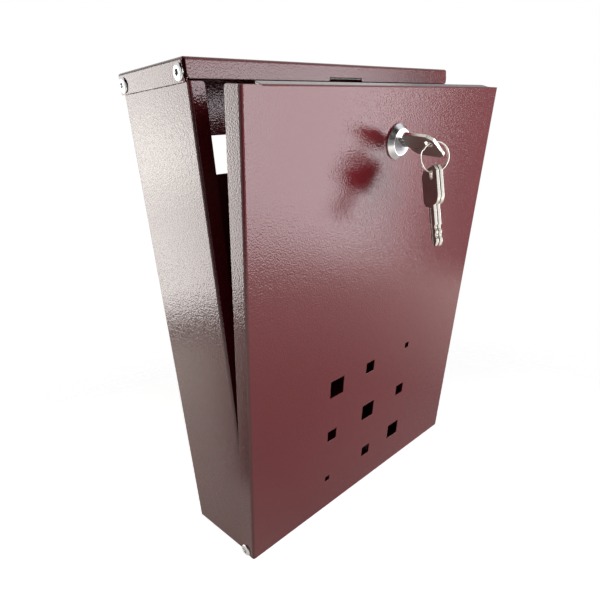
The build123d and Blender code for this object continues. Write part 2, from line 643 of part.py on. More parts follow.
def spare_key(side):
    """Key that hangs from the lowest point of the ring, with its weight below the wire."""
    frame, _, _ = ring_frame()
    across_wire = frame.z_dir
    along_wire = Vector(0, 0, 1).cross(across_wire)
    wire = frame.origin - Vector(0, 0, RING_RADIUS)
    key = flat_key()
    hole = Vector(-KEY_HOLE_OFFSET, 0, KEY_BOW_LENGTH - KEY_HOLE_DROP + SPARE_KEY_SEAT)
    weight = key.center(CenterOf.MASS) - hole
    tilt = math.degrees(math.atan2(weight.X, -weight.Z))
    shift = side * (KEY_THICKNESS + SPARE_KEY_GAP) / 2
    seat = Plane(wire + along_wire * shift, x_dir=across_wire, z_dir=(0, 0, 1)).location
    return seat * Rot(0, tilt, 0) * Pos(-hole) * key


def show(name, point):
    print(f"{name} ({point.X / 1000:.6f}, {point.Y / 1000:.6f}, {point.Z / 1000:.6f})")


lid_rivet_grip = SHEET + LID_SIDE_GAP + SHEET
hinge_rivet_grip = PIVOT_PLAY + SHEET + DOOR_SIDE_GAP + SHEET
hinge_seat = DOOR_HALF_WIDTH + PIVOT_PLAY
pivot_places = [(PIVOT.Y, PIVOT.Z)]

NODES = {
    "body_shell": body_shell(),
    "bottom_tray": bottom_tray(),
    "lid": lid(),
    "lid_rivets": on_sides(blind_rivet(lid_rivet_grip), LID_RIVET_PLACES, LID_HALF_WIDTH),
    "lid_rivet_stems": on_sides(rivet_stem(lid_rivet_grip), LID_RIVET_PLACES, LID_HALF_WIDTH),
    "hinge_rivets": on_sides(blind_rivet(hinge_rivet_grip), pivot_places, hinge_seat),
    "hinge_rivet_stems": on_sides(rivet_stem(hinge_rivet_grip), pivot_places, hinge_seat),
    "door": TIP * shut_door(),
    "lock_housing": lock_housing(),
    "lock_washer": lock_washer(),
    "lock_nut": lock_nut(),
    "lock_plug": lock_plug(),
    "lock_wafers": lock_wafers(),
    "wafer_springs": wafer_springs(),
    "stop_washer": stop_washer(),
    "lock_cam": lock_cam(),
    "cam_washer": cam_washer(),
    "cam_screw": cam_screw(),
    "key": TURNED * Pos(0, 0, KEY_SHOULDER_HEIGHT) * flat_key(),
    "split_ring": split_ring(),
    "spare_key_left": spare_key(1),
    "spare_key_right": spare_key(-1),
}

os.makedirs("parts", exist_ok=True)
for node, solid in NODES.items():
    export_step(solid, f"parts/{node}.step")

# Places of the joints, in metres
ring, ring_contact, ring_tangent = ring_frame()
show("door pivot", PIVOT)
show("lock axis point", LOCK.position)
show("lock axis direction x 1000", Plane(LOCK).z_dir * 1000)
show("ring contact", ring_contact)
show("ring tangent x 1000", ring_tangent * 1000)
show("ring lowest point", ring.origin - Vector(0, 0, RING_RADIUS))
show("ring axis x 1000", ring.z_dir * 1000)
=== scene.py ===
# %% [markdown]
# A wall mounted mailbox of folded, wine red sheet steel. Its shapes come from the imported CAD
# model, which stays where it is. This lesson gives it a camera, a small white studio, and finishes
# that look like the real ones: glossy orange peel powder coat, turned chrome, tumbled nickel keys
# with painted shade on their faces and a painted highlight on their rims, and bright rivets.

import math

import bpy
from mathutils import Matrix, Vector


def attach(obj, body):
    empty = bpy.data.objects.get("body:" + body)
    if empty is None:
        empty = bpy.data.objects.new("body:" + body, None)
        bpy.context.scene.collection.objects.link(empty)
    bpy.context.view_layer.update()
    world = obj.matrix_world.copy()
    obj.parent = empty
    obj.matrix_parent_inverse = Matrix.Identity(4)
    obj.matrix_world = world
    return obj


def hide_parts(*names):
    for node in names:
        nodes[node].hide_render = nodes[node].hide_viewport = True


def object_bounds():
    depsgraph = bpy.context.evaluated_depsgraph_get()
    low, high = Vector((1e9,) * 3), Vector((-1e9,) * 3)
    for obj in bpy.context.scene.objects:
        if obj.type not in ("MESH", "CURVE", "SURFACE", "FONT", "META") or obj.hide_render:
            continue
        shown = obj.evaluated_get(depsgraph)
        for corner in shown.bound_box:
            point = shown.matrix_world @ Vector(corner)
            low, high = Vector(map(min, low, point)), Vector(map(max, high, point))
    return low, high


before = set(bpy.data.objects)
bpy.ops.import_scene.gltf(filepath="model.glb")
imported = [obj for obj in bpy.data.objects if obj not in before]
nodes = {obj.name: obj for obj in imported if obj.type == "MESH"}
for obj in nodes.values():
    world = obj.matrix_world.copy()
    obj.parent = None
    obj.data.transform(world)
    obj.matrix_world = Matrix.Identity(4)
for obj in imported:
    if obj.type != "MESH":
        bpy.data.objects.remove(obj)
cad_low, cad_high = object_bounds()
scene = bpy.context.scene
scene.view_settings.view_transform = "Standard"
print("CAD box", [round(v, 4) for v in cad_low], [round(v, 4) for v in cad_high])
print("CAD nodes", len(nodes))

# %% [markdown]
# The photograph was taken close to the box with a wide lens, from the left and a little above,
# with the camera slightly rolled. Finding such a view by hand takes long. The camera's place, its
# three axes and its focal length were fitted to the edges of the box instead, so they are simply
# written down. A small lens shift stands for the way the photograph was cropped.

# %% Camera
CAMERA_PLACE = Vector((-0.294325, -0.333839, 0.163647))
CAMERA_RIGHT = Vector((0.709932, -0.701298, -0.064643))
CAMERA_UP = Vector((0.309033, 0.227724, 0.923385))
CAMERA_BACK = Vector((-0.632847, -0.675517, 0.378392))
SENSOR_WIDTH, FOCAL_LENGTH = 36, 30.407
SHIFT_X, SHIFT_Y = -0.01597, 0.06652
NEAREST_SEEN = 0.01
bpy.ops.object.select_all(action="DESELECT")
bpy.ops.object.camera_add()
camera = bpy.context.object
camera.name = "photo_camera"
camera_turn = Matrix((CAMERA_RIGHT, CAMERA_UP, CAMERA_BACK)).transposed().to_4x4()
camera.matrix_world = Matrix.Translation(CAMERA_PLACE) @ camera_turn
camera.data.sensor_width = SENSOR_WIDTH
camera.data.lens = FOCAL_LENGTH
camera.data.shift_x = SHIFT_X
camera.data.shift_y = SHIFT_Y
camera.data.clip_start = NEAREST_SEEN
scene.camera = camera
print("camera lens", camera.data.lens, "mm")

# %% [markdown]
# Shader maths could be wired up node by node, but it reads better as plain expressions. A small
# class wraps a node's output socket, so that adding or multiplying two of them adds a Math node.
# One method, `add`, makes every other node from its type, its settings and its inputs.

# %% Shader helper


class Socket:
    """A node output that can be used in arithmetic."""

    def __init__(self, sheet, output):
        self.sheet = sheet
        self.output = output

    def combine(self, operation, first, second):
        return self.sheet.add("ShaderNodeMath", {"operation": operation}, {0: first, 1: second})

    def __add__(self, other):
        return self.combine("ADD", self, other)

    def __radd__(self, other):
        return self.combine("ADD", other, self)

    def __sub__(self, other):
        return self.combine("SUBTRACT", self, other)

    def __rsub__(self, other):
        return self.combine("SUBTRACT", other, self)

    def __mul__(self, other):
        return self.combine("MULTIPLY", self, other)

    def __rmul__(self, other):
        return self.combine("MULTIPLY", other, self)

    def __pow__(self, other):
        return self.combine("POWER", self, other)

    def __rpow__(self, other):
        return self.combine("POWER", other, self)


class ShaderSheet:
    """The node tree of one material or of the world."""

    def __init__(self, tree):
        self.tree = tree
        tree.nodes.clear()

    def add(self, kind, settings=None, inputs=None, output=0):
        node = self.tree.nodes.new(kind)
        for name, value in (settings or {}).items():
            setattr(node, name, value)
        for name, value in (inputs or {}).items():
            if isinstance(value, Socket):
                self.tree.links.new(value.output, node.inputs[name])
            else:
                node.inputs[name].default_value = value
        return Socket(self, node.outputs[output]) if node.outputs else None


def largest(first, *others):
    """The largest of several values at each point."""
    for other in others:
        first = first.combine("MAXIMUM", first, other)
    return first


def new_material(name):
    material = bpy.data.materials.new(name)
    material.use_nodes = True
    return material, ShaderSheet(material.node_tree)


WHITE = (1.0, 1.0, 1.0, 1.0)
print("shader helper ready")

# %% [markdown]
# The studio is an all white room. A plain white world gives that, but it would also light the box
# from every side and wash out the paint. So the world is full white only where the camera, a
# reflection or glass looks at it, and otherwise adds no more than a dim fill.

# %% White room
SURROUND_LIGHT = 0.07
SEEING_RAYS = ("Is Camera Ray", "Is Glossy Ray", "Is Transmission Ray")
world = bpy.data.worlds.new("white_room")
scene.world = world
world.use_nodes = True
room = ShaderSheet(world.node_tree)


def looked_at(sheet):
    """1 where the camera, a reflection or glass sees it, and 0 where it only lights others."""
    return largest(*(sheet.add("ShaderNodeLightPath", output=name) for name in SEEING_RAYS))


strength = SURROUND_LIGHT + looked_at(room) * (1.0 - SURROUND_LIGHT)
background = room.add("ShaderNodeBackground", inputs={"Color": WHITE, "Strength": strength})
room.add("ShaderNodeOutputWorld", inputs={"Surface": background})
print("surround light", SURROUND_LIGHT)

# %% [markdown]
# The box belongs on a wall, and its door folds down below its own bottom. A table top right under
# the box would cut through the opened door, so the floor lies well below it. A flat disc of white
# paper is enough. It fades out at its rim, so that no horizon shows, and glows a little of its
# own, which brings it up to the white of the room and leaves only a soft shadow. Only the camera
# sees it.

# %% Pale floor
PAPER = (0.92, 0.92, 0.92, 1)
RIM_CORNERS = 128


def white_disc(name, centre, height, radius, fade):
    """A round sheet, with its material's shader sheet, its places seen flat and its fading rim."""
    bpy.ops.object.select_all(action="DESELECT")
    bpy.ops.mesh.primitive_circle_add(vertices=RIM_CORNERS, radius=radius + fade, fill_type="NGON",
                                      location=(*centre[:2], height))
    disc = bpy.context.object
    disc.name = name
    bpy.ops.object.transform_apply(location=True, rotation=True, scale=True)
    material, sheet = new_material(name + "_paper")
    disc.data.materials.append(material)
    place = sheet.add("ShaderNodeTexCoord", output="Object")
    flat = sheet.add("ShaderNodeVectorMath", {"operation": "MULTIPLY"}, {0: place, 1: (1, 1, 0)})
    reach = sheet.add("ShaderNodeVectorMath", {"operation": "DISTANCE"}, {0: flat, 1: centre},
                      output="Value")
    faded = sheet.add("ShaderNodeMapRange", {"interpolation_type": "SMOOTHSTEP"},
                      {"Value": reach, "From Min": radius - fade, "From Max": radius + fade})
    print(name, "radius", radius, "at height", round(height, 4))
    return disc, sheet, flat, faded


def lay_paper(sheet, glow, gone):
    """Matt white paper with a glow of its own, clear where gone is 1."""
    cloth = sheet.add("ShaderNodeBsdfDiffuse", inputs={"Color": PAPER})
    white = sheet.add("ShaderNodeAddShader", inputs={0: cloth, 1: glow})
    clear = sheet.add("ShaderNodeBsdfTransparent")
    top = sheet.add("ShaderNodeMixShader", inputs={0: gone, 1: white, 2: clear})
    sheet.add("ShaderNodeOutputMaterial", inputs={"Surface": top})


FLOOR_CENTRE, FLOOR_HEIGHT = (0, 0, 0), -0.36
FLOOR_RADIUS, FLOOR_FADE = 0.75, 0.15
FLOOR_GLOW = 0.74
floor, sheet, _, faded = white_disc(
    "pale_floor", FLOOR_CENTRE, FLOOR_HEIGHT, FLOOR_RADIUS, FLOOR_FADE)
glow = sheet.add("ShaderNodeEmission", inputs={"Color": WHITE, "Strength": FLOOR_GLOW})
lay_paper(sheet, glow, faded)
floor.visible_diffuse = False
floor.visible_glossy = False
floor.visible_transmission = False
floor.visible_shadow = False

# %% [markdown]
# Close under the box lies a white reflector, the sheet that a photographer slides below a shiny
# thing. It gives the pale reflection low on the door and on the side wall, stronger the farther it
# is from the box. Its glow is painted: a plain glowing sheet would look equally bright everywhere,
# so the glow is dimmed close to the box, as a painted shadow where the box itself shades it, and
# grows with the distance. The camera doesn't see it, and from below it is clear, so that the opened
# door can hang through it.

# %% White reflector
MM = 0.001
REFLECTOR_CENTRE, REFLECTOR_HEIGHT = (-0.03, 0.03, 0), cad_low.z - 0.5 * MM
REFLECTOR_RADIUS, REFLECTOR_FADE = 0.61, 0.05
REFLECTOR_WARMTH = (1.0, 0.96, 0.86)
PAINTED_SHADOW_CENTRE = (0.06, -0.08, 0)
NEAR, NEAR_GLOW = 0.12, 0.25
FAR, FAR_GLOW = 0.50, 1.20
reflector, sheet, flat, faded = white_disc(
    "white_reflector", REFLECTOR_CENTRE, REFLECTOR_HEIGHT, REFLECTOR_RADIUS, REFLECTOR_FADE)
# Painted shadow of the box on the reflector: the glow is dim near the box and grows with the
# distance.
away = sheet.add("ShaderNodeVectorMath", {"operation": "DISTANCE"}, {0: flat, 1: PAINTED_SHADOW_CENTRE},
                 output="Value")
shown = sheet.add("ShaderNodeMapRange", inputs={
    "Value": away, "From Min": NEAR, "To Min": NEAR_GLOW, "From Max": FAR, "To Max": FAR_GLOW})
tone = sheet.add("ShaderNodeVectorMath", {"operation": "SCALE"},
                 {0: REFLECTOR_WARMTH, "Scale": looked_at(sheet) * shown})
glow = sheet.add("ShaderNodeEmission", inputs={"Color": tone, "Strength": 1.0})
below = sheet.add("ShaderNodeNewGeometry", output="Backfacing")
lay_paper(sheet, glow, largest(faded, below))
reflector.visible_camera = False
print("reflector glow", NEAR_GLOW, "to", FAR_GLOW)

# %% [markdown]
# Two soft boxes give nearly all the light: one behind the box on the left, which shines along the
# side wall, and one in front on the right, which shines along the door. Each has a smaller core
# that is brighter, as a real one has in front of its lamp. A small fill box opens up the shadows
# and has no reflection of its own. Area lamps are used, because their shape shows in the gloss of
# the paint, and each is given by how bright its face looks rather than by its power.

# %% Soft boxes


def soft_box(name, place, target, size, radiance, colour):
    """A large flat lamp that the camera doesn't see, given by how bright its face looks."""
    bpy.ops.object.select_all(action="DESELECT")
    bpy.ops.object.light_add(type="AREA", location=place)
    lamp = bpy.context.object
    lamp.name = name
    lamp.rotation_euler = (Vector(target) - Vector(place)).to_track_quat("-Z", "Y").to_euler()
    lamp.data.shape = "RECTANGLE"
    lamp.data.size, lamp.data.size_y = size
    lamp.data.color = colour
    lamp.data.energy = radiance * math.pi * size[0] * size[1]
    lamp.visible_camera = False
    print(name, "power", round(lamp.data.energy, 2))
    return lamp


WARM, COOL = (1.0, 0.985, 0.93), (1.0, 0.955, 1.0)
soft_box("soft_box_left", place=(-0.627, 0.826, 0.05), target=(-0.127, -0.04, 0.05),
         size=(0.34, 0.90), radiance=5.6, colour=WARM)
soft_box("soft_box_left_core", place=(-0.622, 0.817, 0.14), target=(-0.127, -0.04, 0.14),
         size=(0.20, 0.15), radiance=2.4, colour=WARM)
soft_box("soft_box_right", place=(0.564, -0.849, -0.07), target=(-0.016, -0.099, -0.07),
         size=(0.635, 0.86), radiance=4.9, colour=COOL)
soft_box("soft_box_right_core", place=(0.449, -0.925, 0.06), target=(-0.131, -0.175, 0.06),
         size=(0.22, 0.52), radiance=1.5, colour=COOL)
fill = soft_box("fill_box", place=(-0.02, -0.56, 0.22), target=(-0.04, -0.11, 0.12),
                size=(0.24, 0.24), radiance=3.9, colour=COOL)
fill.visible_glossy = False

# %% [markdown]
# Photographers stand cards around shiny things. Dark ones let the edges reflect something dark and
# show as crisp lines: here a wall round the camera's side, black above and dark grey below, a
# black ceiling over it, a dark strip on the reflector behind the box, a dark lip on it for the
# door's left flange, and a grey wall far off on the right. Three bright ones carry on the soft
# boxes, two wings beside the left one and a crown above the right one, because bumpy paint breaks
# a reflection into flecks where a lamp ends. All are there for reflections alone: the camera
# doesn't see them, they light nothing and they throw no shadow.

# %% Cards for reflections


def card(name, brightness, corners):
    """A flat card through the given corners, as bright as written in a reflection."""
    material, sheet = new_material(name + "_paper")
    tone = sheet.add("ShaderNodeEmission", inputs={"Color": WHITE, "Strength": brightness})
    sheet.add("ShaderNodeOutputMaterial", inputs={"Surface": tone})
    bpy.ops.object.select_all(action="DESELECT")
    bpy.ops.mesh.primitive_plane_add()
    plane = bpy.context.object
    plane.name = name
    for vertex, corner in zip(plane.data.vertices, corners):
        vertex.co = corner
    plane.data.materials.append(material)
    plane.visible_camera = False
    plane.visible_diffuse = False
    plane.visible_shadow = False
    plane.visible_transmission = False
    print("card", name)


def lying(height, *plan):
    """The corners of a level card at a height, from its four points in plan."""
    return [(*point, height) for point in plan]


def standing(first, second, bottom, top):
    """The corners of an upright card on the line between two points in plan."""
    return [(*first, bottom), (*second, bottom), (*first, top), (*second, top)]


LOW, TOP = cad_low.z + 1.0 * MM, 0.75
WALL_ENDS, WALL_CHANGE = ((-0.28, -0.695), (-0.705, -0.257)), 0.20
WING_TOP, CROWN_BOTTOM, CROWN_TOP = 0.50, 0.36, 0.54
FAR_WALL_BOTTOM = -0.6
card("black_ceiling", brightness=0.0, corners=lying(
    TOP, (-1, -1), (0.2, -1), (-1, 0.1), (0.2, 0.1)))
card("black_wall", brightness=0.0, corners=standing(*WALL_ENDS, WALL_CHANGE, TOP))
card("dark_wall", brightness=0.25, corners=standing(*WALL_ENDS, LOW, WALL_CHANGE))
card("dark_strip", brightness=0.3, corners=lying(
    LOW, (-0.679, 0.220), (-0.072, 0.568), (-0.728, 0.306), (-0.122, 0.654)))
card("dark_lip", brightness=0.1, corners=lying(
    LOW, (-0.188, -0.05), (-0.188, 0.02), (-0.449, 0.26), (-0.449, 0.385)))
card("grey_wall_right", brightness=0.5, corners=standing(
    (0.95, -0.62), (1.0, 0.5), FAR_WALL_BOTTOM, TOP))
card("left_wing", brightness=4.2, corners=standing(
    (-0.774, 0.741), (-0.913, 0.661), LOW, WING_TOP))
card("inner_wing", brightness=3.8, corners=standing(
    (-0.480, 0.911), (-0.350, 0.986), LOW, WING_TOP))
card("right_crown", brightness=3.4, corners=standing(
    (0.313, -1.043), (0.831, -0.643), CROWN_BOTTOM, CROWN_TOP))

# %% [markdown]
# The box is coated with a glossy wine red powder paint. Such paint flows out into small soft
# bumps, called orange peel: the surface is shiny, but reflections break up into flecks where they
# end. The bumps are 1 to 1.5 mm wide, as in the photograph. As geometry they would need millions
# of faces, so a Bump node makes them from two noise layers, over a dark red base with a low
# roughness.

# %% Powder coat
COLOUR_SHARE, COLOUR_FIRST, COLOUR_SECOND, COLOUR_RESULT = 0, 6, 7, 2


def noise(sheet, place, scale, detail):
    return sheet.add("ShaderNodeTexNoise",
                     inputs={"Vector": place, "Scale": scale, "Detail": detail})


def between(sheet, share, first, second):
    """A colour between two others. A Mix node has its colour sockets at these numbers."""
    return sheet.add("ShaderNodeMix", {"data_type": "RGBA"},
                     {COLOUR_SHARE: share, COLOUR_FIRST: first, COLOUR_SECOND: second},
                     output=COLOUR_RESULT)


PAINT_DARK = (0.136, 0.0100, 0.0145, 1)
PAINT_LIGHT = (0.164, 0.0125, 0.0182, 1)
CLOUD_SCALE, GRAIN_SCALE, PEEL_SCALE, FINE_PEEL_SCALE = 14.0, 900.0, 1050.0, 1900.0
CLOUD_SHARE, GRAIN_SHARE, FINE_PEEL_SHARE = 0.7, 0.3, 0.2
PEEL_HEIGHT = 0.11 * MM
PAINT_ROUGHNESS, PAINT_UNEVENNESS, PAINT_IOR = 0.11, 0.04, 1.5
powder_coat, sheet = new_material("wine_red_powder_coat")
place = sheet.add("ShaderNodeTexCoord", output="Object")
cloud = noise(sheet, place, CLOUD_SCALE, detail=3.0)
grain = noise(sheet, place, GRAIN_SCALE, detail=1.0)
colour = between(sheet, cloud * CLOUD_SHARE + grain * GRAIN_SHARE, PAINT_DARK, PAINT_LIGHT)
peel = noise(sheet, place, PEEL_SCALE, detail=0.0)
fine_peel = noise(sheet, place, FINE_PEEL_SCALE, detail=0.0)
bump = sheet.add("ShaderNodeBump", inputs={
    "Height": peel + fine_peel * FINE_PEEL_SHARE, "Strength": 1.0, "Distance": PEEL_HEIGHT})
rough = PAINT_ROUGHNESS + cloud * PAINT_UNEVENNESS
paint = sheet.add("ShaderNodeBsdfPrincipled", inputs={
    "Base Color": colour, "Roughness": rough, "IOR": PAINT_IOR, "Normal": bump})
sheet.add("ShaderNodeOutputMaterial", inputs={"Surface": paint})
print("powder coat", [round(value, 3) for value in PAINT_LIGHT[:3]])

# %% [markdown]
# Bright metals: chrome on the lock's bezel, with a duller, satin plug in it, nickel on the keys
# and the ring, aluminium rivets with steel stems, zinc on the parts behind the door, and brass
# wafers inside the plug. Each could have its own tree of nodes, but they differ only in colour,
# gloss and marks, so one function makes them all. The lock was turned on a lathe, so there the
# marks run in fine rings round its axis.

# %% Metals
CLOUD_DETAIL, MARK_DETAIL, MARK_FINENESS = 4.0, 2.0, 9
MARK_HEIGHT = 0.03 * MM
DULLEST_SHARE, UNEVEN_SHARE = 0.75, 0.5


def round_axis(sheet, place, point, axis):
    """Distance from an axis as a place along X, so that a pattern on it makes rings."""
    offset = sheet.add("ShaderNodeVectorMath", {"operation": "SUBTRACT"}, {0: place, 1: point})
    along = sheet.add("ShaderNodeVectorMath", {"operation": "DOT_PRODUCT"}, {0: offset, 1: axis},
                      output="Value")
    reach = sheet.add("ShaderNodeVectorMath", {"operation": "LENGTH"}, {0: offset}, output="Value")
    radius = (reach * reach - along * along) ** 0.5
    return sheet.add("ShaderNodeCombineXYZ", inputs={"X": radius, "Y": along})


def metal(name, light, dark, roughness, scale, marks, metallic=1.0, turned_about=None):
    """A metal with slightly cloudy colour, uneven gloss and fine marks in its surface."""
    material, sheet = new_material(name)
    place = sheet.add("ShaderNodeTexCoord", output="Object")
    if turned_about:
        place = round_axis(sheet, place, *turned_about)
    cloud = noise(sheet, place, scale, CLOUD_DETAIL)
    colour = between(sheet, cloud, dark, light)
    scratch = noise(sheet, place, scale * MARK_FINENESS, MARK_DETAIL)
    bump = sheet.add("ShaderNodeBump", inputs={
        "Height": scratch, "Strength": marks, "Distance": MARK_HEIGHT})
    gloss = roughness * DULLEST_SHARE + cloud * (roughness * UNEVEN_SHARE)
    shader = sheet.add("ShaderNodeBsdfPrincipled", inputs={
        "Base Color": colour, "Metallic": metallic, "Roughness": gloss, "Normal": bump})
    sheet.add("ShaderNodeOutputMaterial", inputs={"Surface": shader})
    return material


LOCK_POINT = (0.0015, -0.116752, 0.154185)
LEAN_COSINE, LEAN_SINE = 0.990509, 0.137445
LOCK_AXIS = (0, -LEAN_COSINE, -LEAN_SINE)
LATHE = (LOCK_POINT, LOCK_AXIS)
chrome = metal("turned_chrome", light=(0.78, 0.78, 0.79, 1), dark=(0.62, 0.62, 0.63, 1),
               roughness=0.24, scale=900.0, marks=0.25, turned_about=LATHE)
satin_chrome = metal("satin_chrome", light=(0.42, 0.425, 0.435, 1), dark=(0.34, 0.345, 0.355, 1),
                     roughness=0.42, scale=900.0, marks=0.25, turned_about=LATHE)
# Painted shade: the key faces' nickel is darker than the rims', in place of a dark reflection.
nickel = metal("tumbled_nickel_painted_shade", light=(0.36, 0.34, 0.31, 1), dark=(0.26, 0.245, 0.22, 1),
               roughness=0.50, scale=420.0, marks=0.5, metallic=0.65)
# Painted highlight on the key rims; the split ring and the wafer springs have this bright nickel as
# their own colour.
bright_nickel_and_rim_highlight = metal("bright_nickel_and_rim_highlight", light=(0.90, 0.87, 0.80, 1), dark=(0.78, 0.75, 0.68, 1),
                      roughness=0.28, scale=420.0, marks=0.3)
aluminium = metal("bright_aluminium", light=(0.70, 0.71, 0.71, 1), dark=(0.58, 0.59, 0.59, 1),
                  roughness=0.20, scale=500.0, marks=0.3)
# Painted shade: the stems' steel is near black, for the shade in the rivets' holes.
dark_steel = metal("steel_with_painted_shade", light=(0.16, 0.16, 0.16, 1), dark=(0.08, 0.08, 0.08, 1),
                   roughness=0.4, scale=600.0, marks=0.4)
zinc = metal("zinc_plate", light=(0.70, 0.71, 0.73, 1), dark=(0.55, 0.56, 0.58, 1),
             roughness=0.36, scale=300.0, marks=0.3)
brass = metal("stamped_brass", light=(0.80, 0.61, 0.28, 1), dark=(0.66, 0.48, 0.20, 1),
              roughness=0.34, scale=400.0, marks=0.3)


def finish_nodes(material, *names):
    """Gives CAD nodes that stay as they are their material."""
    for name in names:
        node = nodes[name]
        node.data.materials.clear()
        node.data.materials.append(material)
    print(material.name, "on", ", ".join(names))


finish_nodes(satin_chrome, "lock_plug")
finish_nodes(bright_nickel_and_rim_highlight, "split_ring", "wafer_springs")
finish_nodes(zinc, "lock_washer", "stop_washer", "cam_washer", "cam_screw")
finish_nodes(brass, "lock_wafers")

# %% [markdown]
# Cut and folded metal has no razor edges: a press rolls the edge over a little, and paint or
# plating rounds it more. In a picture those narrow roundings catch the light as thin bright lines.
# A CAD mesh is a set of loose triangles, so each copy is merged first and its flat areas are
# joined to single faces. A Bevel modifier then rounds every sharp edge, and a Weighted Normal
# modifier keeps the large faces flat in shading.

# %% Softened copies
MERGE_WITHIN = 0.001 * MM
FLAT_WITHIN, SHARP_FROM = math.radians(0.5), math.radians(35.0)
SPIKE_SHARE = 0.5


def pick(*objects):
    """Selects these objects alone, with the first one active."""
    bpy.ops.object.select_all(action="DESELECT")
    for item in objects:
        item.select_set(True)
    bpy.context.view_layer.objects.active = objects[0]


def copy_of_node(node_name, name):
    """A CAD node's mesh as a new object, merged and with its flat areas joined."""
    piece = bpy.data.objects.new(name, nodes[node_name].data.copy())
    scene.collection.objects.link(piece)
    pick(piece)
    bpy.ops.object.mode_set(mode="EDIT")
    bpy.ops.mesh.select_all(action="SELECT")
    bpy.ops.mesh.customdata_custom_splitnormals_clear()
    bpy.ops.mesh.remove_doubles(threshold=MERGE_WITHIN)
    bpy.ops.mesh.dissolve_limited(angle_limit=FLAT_WITHIN)
    bpy.ops.object.mode_set(mode="OBJECT")
    return piece


def drop_spikes(piece, node, reach):
    """Dissolves the few corners that a bevel throws out where two folds end close together."""
    bpy.ops.object.mode_set(mode="EDIT")
    bpy.ops.mesh.select_mode(type="VERT")
    bpy.ops.mesh.select_all(action="DESELECT")
    bpy.ops.object.mode_set(mode="OBJECT")
    for vertex in piece.data.vertices:
        _, place, _, _ = node.closest_point_on_mesh(vertex.co)
        vertex.select = (place - vertex.co).length > reach
    print(piece.name, "spikes dropped", sum(vertex.select for vertex in piece.data.vertices))
    bpy.ops.object.mode_set(mode="EDIT")
    bpy.ops.mesh.dissolve_verts()
    bpy.ops.object.mode_set(mode="OBJECT")


def round_edges(piece, width, segments=2, node_name=None):
    """Rounds the sharp edges of a piece, and drops spikes where it copies a CAD node."""
    pick(piece)
    bevel = piece.modifiers.new("rounded_edges", "BEVEL")
    bevel.width = width
    bevel.segments = segments
    bevel.limit_method = "ANGLE"
    bevel.angle_limit = SHARP_FROM
    bevel.use_clamp_overlap = False
    bpy.ops.object.modifier_apply(modifier=bevel.name)
    if node_name:
        drop_spikes(piece, nodes[node_name], SPIKE_SHARE * width)
    bpy.ops.object.shade_smooth_by_angle(angle=SHARP_FROM)
    even = piece.modifiers.new("flat_faces", "WEIGHTED_NORMAL")
    even.keep_sharp = True
    bpy.ops.object.modifier_apply(modifier=even.name)
    loose = [edge for edge in piece.data.edges if edge.is_loose]
    print(piece.name, "faces", len(piece.data.polygons), "loose edges", len(loose))


def hand_over(piece, node_name, body, slot, *materials):
    """Gives a finished piece its materials, and lets it stand for a CAD node on its body."""
    for index, material in enumerate(materials):
        if index < len(piece.data.materials):
            piece.data.materials[index] = material
        else:
            piece.data.materials.append(material)
    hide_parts(node_name)
    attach(piece, body)


# %% [markdown]
# The body, its bottom tray, the lid and the door are folded from thin sheet. The CAD nodes already
# have every fold, hole and notch, so new sheets would only repeat them. Copies with rounded edges
# are all that is needed.

# %% Sheet metal
SHEET_ROUNDING = 0.28 * MM
for node_name, name, body in (
    ("body_shell", "painted_body", "box"), ("bottom_tray", "painted_tray", "box"),
    ("lid", "painted_lid", "box"), ("door", "painted_door", "door"),
):
    piece = copy_of_node(node_name, name)
    round_edges(piece, SHEET_ROUNDING, node_name=node_name)
    hand_over(piece, node_name, body, "powder_coat", powder_coat)

# %% [markdown]
# The lock is held by a hexagon nut, and a cranked cam turns behind the lid's front flange. Both
# are thicker than the sheets, with edges that are rounded a little more. Their CAD nodes have the
# right form, so they are copied and softened in the same way.

# %% Nut and cam
PLATE_ROUNDING = 0.35 * MM
for node_name, name, body in (
    ("lock_nut", "plated_nut", "door"), ("lock_cam", "plated_cam", "plug"),
):
    piece = copy_of_node(node_name, name)
    round_edges(piece, PLATE_ROUNDING, node_name=node_name)
    hand_over(piece, node_name, body, "zinc", zinc)

# %% [markdown]
# Rivets and the lock's housing are turned parts. On a lathe, and here too, such a part comes from
# the outline of its wall, drawn once as a closed loop and spun round its axis. Stacked cylinders
# would leave seams inside.

# %% Turned parts


def spin_active(steps, angle):
    """Spins the active mesh about Z, and closes what comes out."""
    bpy.ops.object.mode_set(mode="EDIT")
    bpy.ops.mesh.select_all(action="SELECT")
    bpy.ops.mesh.spin(steps=steps, angle=angle, center=(0, 0, 0), axis=(0, 0, 1))
    bpy.ops.mesh.select_all(action="SELECT")
    bpy.ops.mesh.remove_doubles(threshold=MERGE_WITHIN)
    bpy.ops.mesh.delete_loose()
    bpy.ops.mesh.select_all(action="SELECT")
    bpy.ops.mesh.normals_make_consistent(inside=False)
    bpy.ops.object.mode_set(mode="OBJECT")


def turned(name, section, steps):
    """A lathe part about Z from the closed outline of its wall, in millimetres."""
    bpy.ops.object.select_all(action="DESELECT")
    bpy.ops.mesh.primitive_circle_add(vertices=len(section), radius=MM)
    piece = bpy.context.object
    piece.name = name
    for vertex, (radius, height) in zip(piece.data.vertices, section):
        vertex.co = (radius * MM, 0, height * MM)
    spin_active(steps, 2 * math.pi)
    return piece


def on_both_sides(pattern, name, places, seat):
    """Copies of a turned part on both sides of the box, heads outwards, joined to one piece."""
    copies = []
    for y, z in places:
        for side in (-1, 1):
            copy = bpy.data.objects.new(name, pattern.data.copy())
            scene.collection.objects.link(copy)
            place = Matrix.Translation((side * seat * MM, y * MM, z * MM))
            copy.data.transform(place @ Matrix.Rotation(math.radians(90 * side), 4, "Y"))
            copies.append(copy)
    pick(*copies)
    bpy.ops.object.join()
    bpy.data.objects.remove(pattern)
    return copies[0]


print("lathe ready")
